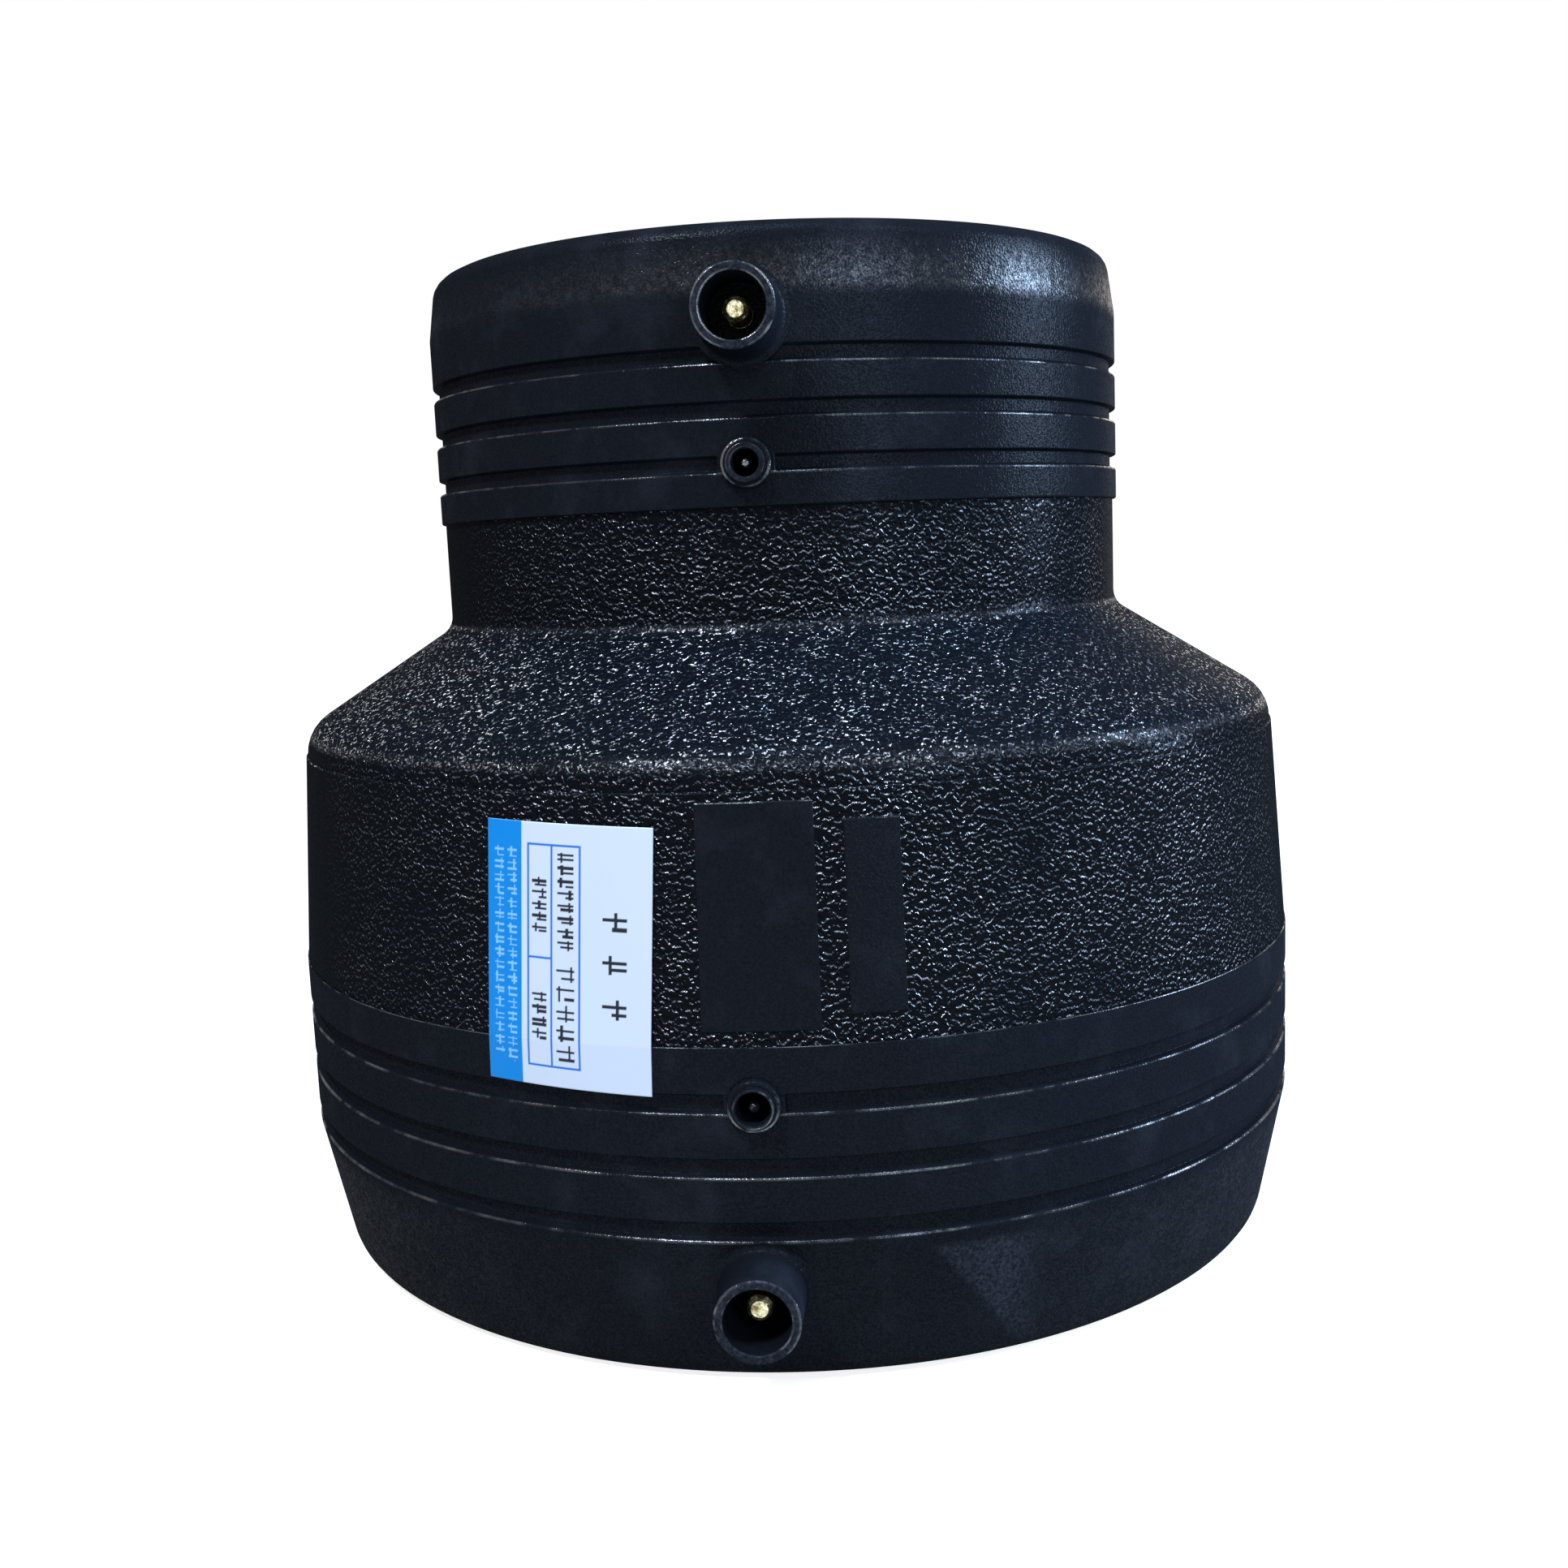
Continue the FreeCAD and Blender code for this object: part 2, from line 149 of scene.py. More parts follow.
def wall_radius(height):
    """Radius of the outside without its grooves: straight between the corners of bands and tapers."""
    heights = [0.0, large_taper_top, wall_foot, wall_foot + 0.01, 92.4, 92.41, 96.8, 114.6,
               small_band_foot, small_band_foot + 0.01, small_taper_foot, 178.5]
    radii = [91.0, large_band, large_band, 95.8, 93.3, 93.0, 93.0, 64.6, 64.6, small_band, small_band, 63.8]
    return np.interp(height, heights, radii)


def painted_lip_highlight(rows):
    """1 on the tight convex rounds of a closed outline and 0 elsewhere: its turning angle over its length.

    The rounds count from 0.8 per mm and fully from 1.6 per mm. The sign of the area tells convex from hollow.
    """
    back = rows[:, :2] - np.roll(rows[:, :2], 1, 0)
    onward = np.roll(back, -1, 0)
    turning = np.arctan2(back[:, 0] * onward[:, 1] - back[:, 1] * onward[:, 0], (back * onward).sum(1))
    length = (np.linalg.norm(back, axis=1) + np.linalg.norm(onward, axis=1)) / 2
    area = (rows[:, 0] * np.roll(rows[:, 1], -1) - rows[:, 1] * np.roll(rows[:, 0], -1)).sum()
    return np.clip(np.sign(area) * turning / np.maximum(length, 1e-6) / 0.8 - 1, 0, 1)


def turned_body():
    """The turned grid: x = r sin(a), y = -r cos(a), with r changed where something interrupts the turning.

    r rises to the band where a groove stops short of an indicator, rises by the panels' height in them,
    and sinks out of sight under the shrouds and indicators, whose own surfaces take over there. With the
    points come, from 0 to 1, where the grain lies, where a lip gets a painted highlight, where the lower
    taper has a lighter grey patch, and where a taper gets a painted sheen: the small one towards the
    terminals' side and its right, where the lamps fall, and the large one faintly at its sides.
    """
    radius = np.repeat(outline[:, :1], len(columns), 1)
    height = np.repeat(outline[:, 1:], len(columns), 1)
    angle = np.repeat(columns[None, :], len(outline), 0)
    outside = radius > wall_radius(height) - 1.6
    sideways = radius * np.sin(angle)
    front = np.cos(angle) > 0
    grain = (outside & (height > wall_foot - 0.01) & (height < small_band_foot - 0.01)).astype(float)
    # Painted highlight on the lips: only the convex rounds that face up, towards the lamps, get it.
    ahead = np.roll(outline, -1, 0) - np.roll(outline, 1, 0)
    facing_up = np.clip(3 * ahead[:, 0] / np.linalg.norm(ahead, axis=1), 0, 1)
    gloss = np.repeat((painted_lip_highlight(outline) * facing_up)[:, None], len(columns), 1) * outside
    for band_radius, middle in ((large_band, large_indicator_height), (small_band, small_indicator_height)):
        stopped = outside & front & (np.abs(sideways) < groove_stop + 0.005)
        stopped &= np.abs(height - middle) < groove_stop
        radius = np.where(stopped, band_radius, radius)
    for centre, half, low, high in panels:
        inside = (np.abs(np.degrees(angle) - centre) < half) & (height > low) & (height < high)
        radius = np.where(outside & inside, radius + panel_rise, radius)
        grain = np.where(outside & inside, 0.0, grain)
        # Painted highlight on the panels' top edges.
        top_edge = outside & inside & (height > high - 2 * panel_edge)
        gloss = np.where(top_edge, 1.0, gloss)
    for middle, reach, depth in ((large_shroud_height, 5.7, 2.2), (small_shroud_height, 5.7, 2.2),
                                 (large_indicator_height, 3.2, 11.9), (small_indicator_height, 3.2, 6.4)):
        hidden = outside & front & (np.hypot(sideways, height - middle) < reach)
        radius = np.where(hidden, radius - depth, radius)
    points = np.stack([radius * np.sin(angle), -radius * np.cos(angle), height], axis=2)
    turned = np.degrees(angle)
    # A lighter grey patch on the lower taper, with a sharp edge on its left.
    left = np.clip((turned - np.interp(height, [0.2, 21.9], [26.0, 15.4])) / 0.8, 0, 1)
    right = np.clip((27.5 - turned) / 4.0, 0, 1)
    pale_rims_and_patch = left * right * outside
    pale_rims_and_patch = pale_rims_and_patch * np.clip((height - 0.5) / 3, 0, 1) * np.clip((22.4 - height) / 1.5, 0, 1)
    # Painted sheen on the tapers, set by azimuth: most on the small taper's side towards the terminals and
    # its right, where the lamps fall, and faintly at the large taper's sides.
    painted_taper_sheen = np.clip(np.minimum((height - 166.5) / 2.0, (175.5 - height) / 2.0), 0, 1) * outside
    painted_taper_sheen = painted_taper_sheen * np.interp(turned, [-180, -45, 5, 80, 180], [0.1, 0.1, 1.0, 0.9, 0.1])
    low_sides = np.interp(np.abs(turned), [15.0, 55.0], [0.02, 0.22])
    painted_taper_sheen = painted_taper_sheen + low_sides * np.clip((24.0 - height) / 3.0, 0, 1) * outside
    return points, grain, gloss, pale_rims_and_patch, painted_taper_sheen


def facing_front(outline, middle, steps=72):
    """A form turned about the line y at a height: rows of (radius, distance from Z, 1 if laid on the wall).

    x = radius sin(a), z = middle + radius cos(a), and y is minus the distance. A row laid on the wall
    takes its distance outwards from the wall behind it, which is sqrt(R(z)^2 - x^2) from the axis.
    """
    outline = np.array(outline, float)
    angle = np.linspace(0, 2 * math.pi, steps, endpoint=False)[None, :]
    sideways = outline[:, :1] * np.sin(angle)
    height = middle + outline[:, :1] * np.cos(angle)
    wall = np.sqrt(wall_radius(height) ** 2 - sideways ** 2)
    distance = outline[:, 1:2] + outline[:, 2:] * wall
    return np.stack([sideways, -distance, height], axis=2)


def shroud(mouth, floor, middle):
    """A terminal shroud: a well 12 mm deep in a drafted tower, flared into the wall by a 1.3 mm fillet.

    The flare is a quarter circle of (8.0 - 1.3 cos, 1.3 - 1.3 sin). The mouth is painted lighter grey, a
    painted highlight on its rim.
    """
    free = soft_corners([(0.0, floor - 4.5, 0), (0.0, floor - 0.8, 0), (2.03, floor - 0.8, 0),
                         (2.03, floor + 0.04, 0.02), (5.05, floor + 0.04, 0.25), (5.05, mouth, 0.4),
                         (6.55, mouth, 0.45), (6.7, floor + 1.5, 0)])[1:-1]
    turn = np.linspace(0, math.pi / 2, 9)
    flare = np.stack([8.0 - 1.3 * np.cos(turn), 1.3 - 1.3 * np.sin(turn)], axis=1)
    laid = np.concatenate([[(6.68, 4.0), (6.7, 2.0)], flare, [(8.04, -0.03), (8.04, -2.5), (0.0, -4.5)]])
    rows = np.concatenate([np.c_[free, np.zeros(len(free))], np.c_[laid, np.ones(len(laid))]])
    gloss = painted_lip_highlight(rows) * (rows[:, 2] < 0.5)
    # Painted highlight: the mouth's rim is painted lighter grey.
    pale_rims_and_patch = 0.8 * ((rows[:, 1] > mouth - 0.2) & (rows[:, 2] < 0.5))
    return facing_front(rows, middle), np.repeat(gloss[:, None], 72, 1), np.repeat(pale_rims_and_patch[:, None], 72, 1)


def indicator(band_radius, hole_floor, middle, hole):
    """A fusion indicator: a stepped boss with a countersunk blind hole and its domed, glossy pin."""
    top = band_radius + 2.4
    flange = band_radius + 1.3
    free = soft_corners([(0.0, hole_floor - 1.2, 0), (0.0, top - 1.0, 0), (0.9, top - 1.0, 0.8),
                         (0.9, hole_floor, 0), (hole, hole_floor, 0), (hole, top - 0.3, 0.1),
                         (hole + 0.25, top, 0.1), (3.15, top, 0.2), (3.15, flange, 0.12), (4.1, flange, 0.6),
                         (4.1, hole_floor - 1.2, 0)])
    rows = np.c_[free, np.zeros(len(free))]
    gloss = np.maximum(painted_lip_highlight(rows), 3.0 * ((rows[:, 0] < 0.85) & (rows[:, 1] > hole_floor)))
    # Painted highlight: the boss's top round the hole is painted lighter grey.
    pale_rims_and_patch = 0.5 * ((rows[:, 1] > top - 0.1) & (rows[:, 0] > hole))
    return facing_front(rows, middle, 48), np.repeat(gloss[:, None], 48, 1), np.repeat(pale_rims_and_patch[:, None], 48, 1)


def grid_faces(rows, columns, first=0, close_rows=True):
    """Quads of a grid whose columns close on themselves, and whose rows do too unless told otherwise."""
    row = np.arange(rows if close_rows else rows - 1)[:, None]
    column = np.arange(columns)[None, :]
    after = (row + 1) % rows
    beside = (column + 1) % columns
    corners = [row * columns + column, after * columns + column, after * columns + beside,
               row * columns + beside]
    return first + np.stack(np.broadcast_arrays(*corners), axis=2).reshape(-1, 4)


def area_normals(points, faces):
    """Vertex normals: the sum of the cross products of the diagonals of the faces round each vertex."""
    diagonal = np.cross(points[faces[:, 2]] - points[faces[:, 0]], points[faces[:, 3]] - points[faces[:, 1]])
    normals = np.zeros_like(points)
    for corner in range(4):
        np.add.at(normals, faces[:, corner], diagonal)
    return normals / np.maximum(np.linalg.norm(normals, axis=1, keepdims=True), 1e-12)


def smooth_piece(name, points, faces, normals=None):
    """A mesh object at the origin, in metres, from points in millimetres and quads, shaded smooth."""
    mesh = bpy.data.meshes.new(name)
    mesh.vertices.add(len(points))
    mesh.vertices.foreach_set("co", (points * MM).ravel())
    mesh.loops.add(faces.size)
    mesh.loops.foreach_set("vertex_index", faces.ravel())
    mesh.polygons.add(len(faces))
    mesh.polygons.foreach_set("loop_start", np.arange(0, faces.size, 4))
    mesh.update(calc_edges=True)
    mesh.validate()
    mesh.shade_smooth()
    if normals is not None:
        mesh.normals_split_custom_set_from_vertices(normals)
    piece = bpy.data.objects.new(name, mesh)
    bpy.context.scene.collection.objects.link(piece)
    return piece


def joined(parts):
    """Points and faces of several closed grids in one list, each grid's faces counted on from the last."""
    points = np.concatenate([part.reshape(-1, 3) for part in parts])
    starts = np.cumsum([0] + [part.shape[0] * part.shape[1] for part in parts])
    faces = np.concatenate([grid_faces(part.shape[0], part.shape[1], start)
                            for part, start in zip(parts, starts)])
    return points, faces


turned, grain, gloss, pale_rims_and_patch, painted_taper_sheen = turned_body()
forms = [shroud(105.54, 93.54, large_shroud_height), shroud(76.5, 64.5, small_shroud_height),
         indicator(large_band, 84.6, large_indicator_height, 2.6),
         indicator(small_band, 59.4, small_indicator_height, 2.15)]
points, faces = joined([turned] + [form[::-1] for form, _, _ in forms])
moulding = smooth_piece("moulding", points, faces, area_normals(points, faces))

# The painted highlight on the lips of the shrouds and indicators counts double, as their lips are thinner in
# the picture than a groove's.
gloss = np.concatenate([gloss.ravel()] + [2 * lips[::-1].ravel() for _, lips, _ in forms])
pale_rims_and_patch = np.concatenate([pale_rims_and_patch.ravel()] + [mouth[::-1].ravel() for _, _, mouth in forms])
painted_taper_sheen = np.concatenate([painted_taper_sheen.ravel(), np.zeros(len(points) - painted_taper_sheen.size)])
for name, values in (("painted_lip_highlight", gloss), ("pale_rims_and_patch", pale_rims_and_patch), ("painted_taper_sheen", painted_taper_sheen)):
    field = moulding.data.attributes.new(name, "FLOAT", "POINT")
    field.data.foreach_set("value", values)


def linear(colour):
    """Linear RGBA of an sRGB hex colour: ((c + 0.055) / 1.055) ^ 2.4, or c / 12.92 for dark parts."""
    parts = [int(colour[start:start + 2], 16) / 255 for start in (1, 3, 5)]
    return [part / 12.92 if part <= 0.04045 else ((part + 0.055) / 1.055) ** 2.4 for part in parts] + [1.0]


def add(tree, kind, settings=None, links=None):
    """Adds a shader node. Settings are its properties or unlinked sockets, links are its fed sockets."""
    node = tree.nodes.new("ShaderNode" + kind)
    for name, value in (settings or {}).items():
        if isinstance(name, str) and hasattr(node, name):
            setattr(node, name, value)
        else:
            node.inputs[name].default_value = value
    for name, source in (links or {}).items():
        tree.links.new(node.inputs[name], source)
    return node


def new_material(name):
    """An empty node material and its output."""
    material = bpy.data.materials.new(name)
    material.use_nodes = True
    material.node_tree.nodes.clear()
    return material, material.node_tree, material.node_tree.nodes.new("ShaderNodeOutputMaterial")


def black_polyethylene(name, coat_roughness):
    """Injection moulded polyethylene coloured with carbon black: near black, glossy only in small spots.

    The gloss is all in the coat, with a high index and a low weight that each finish draws. The skin
    under it has none, or the pale surround would lie over the whole fitting as a grey veil.
    """
    material, tree, output = new_material(name)
    place = add(tree, "TexCoord").outputs["Object"]
    shader = add(tree, "BsdfPrincipled", {
        "Roughness": 0.6, "Specular IOR Level": 0.0, "Coat IOR": 2.4, "Coat Roughness": coat_roughness})
    tree.links.new(output.inputs["Surface"], shader.outputs["BSDF"])
    return material, tree, place, shader


# Satin polyethylene of the bands, tapers, shrouds and panels: the mould was blasted, so its sheen is broken
# into specks about 0.4 mm across. The tapers get a painted sheen several times stronger, broken into patches
# of a millimetre or so. The lips that face up, the lips of the shrouds and indicators and the panels' top
# edges get a painted highlight, in dashes. A patch on the lower taper is lighter grey, and the mouths of the
# shrouds and indicators are painted lighter grey, a painted highlight on their rims.
satin, tree, place, shader = black_polyethylene("polyethylene_moulded_satin", 0.22)
specks = add(tree, "TexNoise", {"Scale": 2600.0, "Detail": 1.0, "Roughness": 0.5},
             {"Vector": place}).outputs["Fac"]
sheen = add(tree, "MapRange", {"From Min": 0.34, "From Max": 0.66, "To Min": 0.004, "To Max": 0.02},
            {"Value": specks}).outputs[0]
# Painted sheen on the tapers: their coat weight is raised several times, in patches of a millimetre or so.
taper = add(tree, "Attribute", {"attribute_name": "painted_taper_sheen"}).outputs["Fac"]
sheen_patches = add(tree, "TexNoise", {"Scale": 800.0, "Detail": 2.0, "Roughness": 0.6},
            {"Vector": place}).outputs["Fac"]
sheen_patches = add(tree, "MapRange", {"From Min": 0.4, "From Max": 0.62, "To Min": 0.5, "To Max": 1.6},
            {"Value": sheen_patches}).outputs[0]
taper = add(tree, "Math", {"operation": "MULTIPLY"}, {0: taper, 1: sheen_patches}).outputs[0]
taper = add(tree, "Math", {"operation": "MULTIPLY_ADD", 1: 7.0, 2: 1.0}, {0: taper}).outputs[0]
sheen = add(tree, "Math", {"operation": "MULTIPLY"}, {0: sheen, 1: taper}).outputs[0]
dashes = add(tree, "TexNoise", {"Scale": 120.0, "Detail": 4.0, "Roughness": 0.65},
             {"Vector": place}).outputs["Fac"]
dashes = add(tree, "MapRange", {"From Min": 0.44, "From Max": 0.62, "To Min": 0.0, "To Max": 0.35},
             {"Value": dashes}).outputs[0]
# Painted highlight on the lips and edges, in dashes.
lips = add(tree, "Attribute", {"attribute_name": "painted_lip_highlight"}).outputs["Fac"]
shine = add(tree, "Math", {"operation": "MULTIPLY_ADD"}, {0: lips, 1: dashes, 2: sheen}).outputs[0]
tree.links.new(shader.inputs["Coat Weight"], shine)
smears = add(tree, "TexNoise", {"Scale": 90.0, "Detail": 6.0, "Roughness": 0.62},
             {"Vector": place}).outputs["Fac"]
smears = add(tree, "MapRange", {"From Min": 0.52, "From Max": 0.8, "To Min": 0.0, "To Max": 0.3},
             {"Value": smears}).outputs[0]
pale_grit = add(tree, "TexNoise", {"Scale": 1500.0, "Detail": 3.0, "Roughness": 0.7},
               {"Vector": place}).outputs["Fac"]
pale_grit = add(tree, "MapRange", {"From Min": 0.4, "From Max": 0.65, "To Min": 0.1, "To Max": 1.0},
               {"Value": pale_grit}).outputs[0]
# Lighter grey on the mouths of the shrouds and indicators is a painted highlight. The patch on the lower
# taper is lighter grey too, and the smears are random tone.
patch_and_rims = add(tree, "Attribute", {"attribute_name": "pale_rims_and_patch"}).outputs["Fac"]
smears_and_pale_rims = add(tree, "Math", {"operation": "MULTIPLY_ADD"}, {0: patch_and_rims, 1: pale_grit, 2: smears}).outputs[0]
tone = add(tree, "Mix", {"data_type": "RGBA", 6: linear("#111317"), 7: linear("#2E3036")},
           {0: smears_and_pale_rims}).outputs[2]
tree.links.new(shader.inputs["Base Color"], tone)
relief = add(tree, "Bump", {"Strength": 1.0, "Distance": 0.00009}, {"Height": specks}).outputs["Normal"]
for socket in ("Normal", "Coat Normal"):
    tree.links.new(shader.inputs[socket], relief)

# Grained polyethylene of the neck, cone and large wall: leather pebbles about 1 mm across with flat crests
# and steep flanks, etched into the mould. The flanks that face the lamps, the upper ones on the upright walls
# and the outward, lower ones on the cone, get a painted sheen and a lighter painted tone, painted light that
# stands in for the lamps' glints. A flank is found from the fall of the grain's height over 0.28 mm upwards,
# by drawing the grain three times: in place, a step below and a step above.
leather, tree, place, shader = black_polyethylene("polyethylene_moulded_leather_grain", 0.2)
flank_step, flattened = 0.00014, 1.1
heights = []
for step in (0.0, -flank_step, flank_step):
    laid = add(tree, "Mapping", {"Location": (0.0, 0.0, flattened * step), "Scale": (1.0, 1.0, flattened)},
               {"Vector": place}).outputs["Vector"]
    noise = add(tree, "TexNoise", {"Scale": 1250.0, "Detail": 1.0, "Roughness": 0.5, "Distortion": 0.2},
                {"Vector": laid}).outputs["Fac"]
    crest = add(tree, "MapRange", {"interpolation_type": "SMOOTHSTEP", "From Min": 0.4, "From Max": 0.6},
                {"Value": noise}).outputs[0]
    heights.append(crest)
pebbles, below, above = heights
fall = add(tree, "Math", {"operation": "SUBTRACT"}, {0: below, 1: above}).outputs[0]
upper = add(tree, "MapRange", {"From Min": 0.35, "From Max": 0.8}, {"Value": fall}).outputs[0]
lower = add(tree, "MapRange", {"From Min": -0.3, "From Max": -0.7}, {"Value": fall}).outputs[0]

# The surface's own slope tells the cone, 1, from the walls, 0. The bends between them are halfway, and both
# flanks get the painted sheen there.
upright = add(tree, "SeparateXYZ", None, {0: add(tree, "TexCoord").outputs["Normal"]}).outputs["Z"]
on_cone = add(tree, "MapRange", {"From Min": 0.3, "From Max": 0.6}, {"Value": upright}).outputs[0]
past_bend = add(tree, "MapRange", {"From Min": 1.0, "From Max": 0.5}, {"Value": on_cone}).outputs[0]
upper = add(tree, "Math", {"operation": "MULTIPLY"}, {0: upper, 1: past_bend}).outputs[0]
to_bend = add(tree, "MapRange", {"From Min": 0.0, "From Max": 0.5}, {"Value": on_cone}).outputs[0]
lower = add(tree, "Math", {"operation": "MULTIPLY"}, {0: lower, 1: to_bend}).outputs[0]
flanks = add(tree, "Math", {"operation": "MAXIMUM"}, {0: upper, 1: lower}).outputs[0]

# How strong the painted sheen on the flanks is, by where the lamps fall: on the walls on the terminals' side,
# on the cone mostly at the left of it, both unevenly, and in dots of 0.6 mm.
outwards = add(tree, "VectorMath", {"operation": "MULTIPLY", 1: (1, 1, 0)}, {0: place}).outputs[0]
outwards = add(tree, "VectorMath", {"operation": "NORMALIZE"}, {0: outwards}).outputs[0]
lamp_side = add(tree, "VectorMath", {"operation": "DOT_PRODUCT", 1: (0.14, -0.99, 0)},
              {0: outwards}).outputs["Value"]
lamp_side = add(tree, "MapRange", {"From Min": 0.45, "From Max": 0.8}, {"Value": lamp_side}).outputs[0]
uneven = add(tree, "TexNoise", {"Scale": 35.0, "Detail": 5.0, "Roughness": 0.75},
             {"Vector": place}).outputs["Fac"]
uneven = add(tree, "MapRange", {"From Min": 0.35, "From Max": 0.65, "To Min": 0.3, "To Max": 2.3},
             {"Value": uneven}).outputs[0]
# Painted light on the cone: its sheen is strongest at the left of the terminals' side, where the lamps fall.
drawn = add(tree, "VectorMath", {"operation": "DOT_PRODUCT", 1: (-0.5, -0.87, 0)},
            {0: outwards}).outputs["Value"]
drawn = add(tree, "MapRange", {"From Min": 0.1, "From Max": 0.95, "To Min": 0.12, "To Max": 0.62},
            {"Value": drawn}).outputs[0]
painted_flank_sheen = add(tree, "Math", {"operation": "MULTIPLY", 1: 0.22}, {0: lamp_side}).outputs[0]
dots = add(tree, "TexNoise", {"Scale": 1700.0, "Detail": 0.0}, {"Vector": place}).outputs["Fac"]
dots = add(tree, "MapRange", {"From Min": 0.42, "From Max": 0.6, "To Min": 0.0, "To Max": 2.2},
           {"Value": dots}).outputs[0]
drawn = add(tree, "Math", {"operation": "MULTIPLY"}, {0: drawn, 1: dots}).outputs[0]
broken = add(tree, "Math", {"operation": "MULTIPLY_ADD", 1: 0.65, 2: 0.4}, {0: dots}).outputs[0]
painted_flank_sheen = add(tree, "Math", {"operation": "MULTIPLY"}, {0: painted_flank_sheen, 1: broken}).outputs[0]
painted_flank_sheen = add(tree, "Mix", None, {0: on_cone, 2: painted_flank_sheen, 3: drawn}).outputs[0]
# Painted highlight along the bends between the cone and the walls.
bend = add(tree, "Math", {"operation": "PINGPONG", 1: 0.5}, {0: on_cone}).outputs[0]
painted_flank_sheen = add(tree, "Math", {"operation": "MULTIPLY_ADD", 1: 0.3}, {0: bend, 2: painted_flank_sheen}).outputs[0]
painted_flank_sheen = add(tree, "Math", {"operation": "MULTIPLY"}, {0: painted_flank_sheen, 1: uneven}).outputs[0]
shine = add(tree, "Math", {"operation": "MULTIPLY_ADD", 1: 0.04, 2: 0.014}, {0: bend}).outputs[0]
shine = add(tree, "Math", {"operation": "MULTIPLY_ADD"}, {0: flanks, 1: painted_flank_sheen, 2: shine}).outputs[0]
tree.links.new(shader.inputs["Coat Weight"], shine)
# Painted light in the base colour: the flanks that face the lamps, more on the lamps' side, and the whole
# cone, which faces up, are a lighter navy.
painted_lit_flanks = add(tree, "Math", {"operation": "MULTIPLY_ADD", 1: 0.7, 2: 0.3}, {0: lamp_side}).outputs[0]
painted_lit_flanks = add(tree, "Math", {"operation": "MULTIPLY"}, {0: painted_lit_flanks, 1: flanks}).outputs[0]
painted_light_tint = add(tree, "Math", {"operation": "MULTIPLY_ADD", 1: 0.12}, {0: on_cone, 2: painted_lit_flanks}).outputs[0]
tone = add(tree, "Mix", {"data_type": "RGBA", 6: linear("#07090C"), 7: linear("#171F2A")},
           {0: painted_light_tint}).outputs[2]
tree.links.new(shader.inputs["Base Color"], tone)
relief = add(tree, "Bump", {"Strength": 1.0, "Distance": 0.00018}, {"Height": pebbles}).outputs["Normal"]
for socket in ("Normal", "Coat Normal"):
    tree.links.new(shader.inputs[socket], relief)
moulding.data.materials.append(satin)
moulding.data.materials.append(leather)
grained = np.concatenate([grain.ravel(), np.zeros(len(points) - grain.size)])[faces].min(axis=1) > 0.5
moulding.data.polygons.foreach_set("material_index", grained.astype(np.int32))
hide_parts("body")
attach(moulding, "root")

# Heating wire: copper alloy resistance wire, 0.9 mm, wound round both sockets and half sunk in their walls.
# It is drawn bright and darkens a little where the hot polyethylene has run over it.
wire_metal, tree, output = new_material("copper_alloy_wire_drawn")
place = add(tree, "TexCoord").outputs["Object"]
stain = add(tree, "TexNoise", {"Scale": 180.0, "Detail": 4.0}, {"Vector": place}).outputs["Fac"]
tone = add(tree, "Mix", {"data_type": "RGBA", 6: linear("#C88A62"), 7: linear("#8A5A40")},
           {0: stain}).outputs[2]
shader = add(tree, "BsdfPrincipled", {"Metallic": 1.0, "Roughness": 0.32}, {"Base Color": tone})
tree.links.new(output.inputs["Surface"], shader.outputs["BSDF"])
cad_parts["heating_wire"].data.materials.clear()
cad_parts["heating_wire"].data.materials.append(wire_metal)

# Terminal pins: turned brass, 4 mm, held by their collars in the wall behind each shroud. The brass is pale
# where it was cut fresh and dull in patches a millimetre or two across, with fine tool marks.
brass, tree, output = new_material("turned_brass")
place = add(tree, "TexCoord").outputs["Object"]
dulling = add(tree, "TexNoise", {"Scale": 750.0, "Detail": 4.0, "Roughness": 0.6},
              {"Vector": place}).outputs["Fac"]
patches = add(tree, "MapRange", {"From Min": 0.42, "From Max": 0.6}, {"Value": dulling}).outputs[0]
tone = add(tree, "Mix", {"data_type": "RGBA", 6: linear("#7C6C3A"), 7: linear("#F0E3B8")},
           {0: patches}).outputs[2]
scratch = add(tree, "Bump", {"Strength": 1.0, "Distance": 0.0004}, {"Height": dulling}).outputs["Normal"]
shader = add(tree, "BsdfPrincipled", {"Metallic": 1.0, "Roughness": 0.38},
             {"Base Color": tone, "Normal": scratch})
tree.links.new(output.inputs["Surface"], shader.outputs["BSDF"])
for pin in ("large_terminal_pin", "small_terminal_pin"):
    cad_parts[pin].data.materials.clear()
    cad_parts[pin].data.materials.append(brass)

# Label: a coated paper sticker, 27.8 by 40.4 mm, stuck a little askew across the top of the large band, so it
# bends over the grain's step. It is printed in one blue; the small print is only strokes, with no words.
label_angle = math.radians(-17.1)
label_tilt = math.radians(1.9)
label_size = np.array([27.8, 40.4])
label_middle = 47.5 + label_size[1] / 2
label_gap, label_thickness = 0.05, 0.2
wall_lean = 2.5 / 37.7
cell = 0.17


def label_sheet(u, v, lift):
    """Points of the sticker: (u, v) turned by its tilt in its plane, then laid on the wall at that x and z.

    y is minus sqrt(R(z)^2 - x^2), with R the wall's radius plus the lift, and the whole is turned to its
    place round the axis.
    """
    sideways = u * math.cos(label_tilt) + v * math.sin(label_tilt)
    height = label_middle - u * math.sin(label_tilt) + v * math.cos(label_tilt)
    radius = large_band + lift - np.maximum(height - wall_foot, 0) * wall_lean
    forward = np.sqrt(radius ** 2 - sideways ** 2)
    x = sideways * math.cos(label_angle) + forward * math.sin(label_angle)
    y = sideways * math.sin(label_angle) - forward * math.cos(label_angle)
    return np.stack([x, y, height], axis=-1)


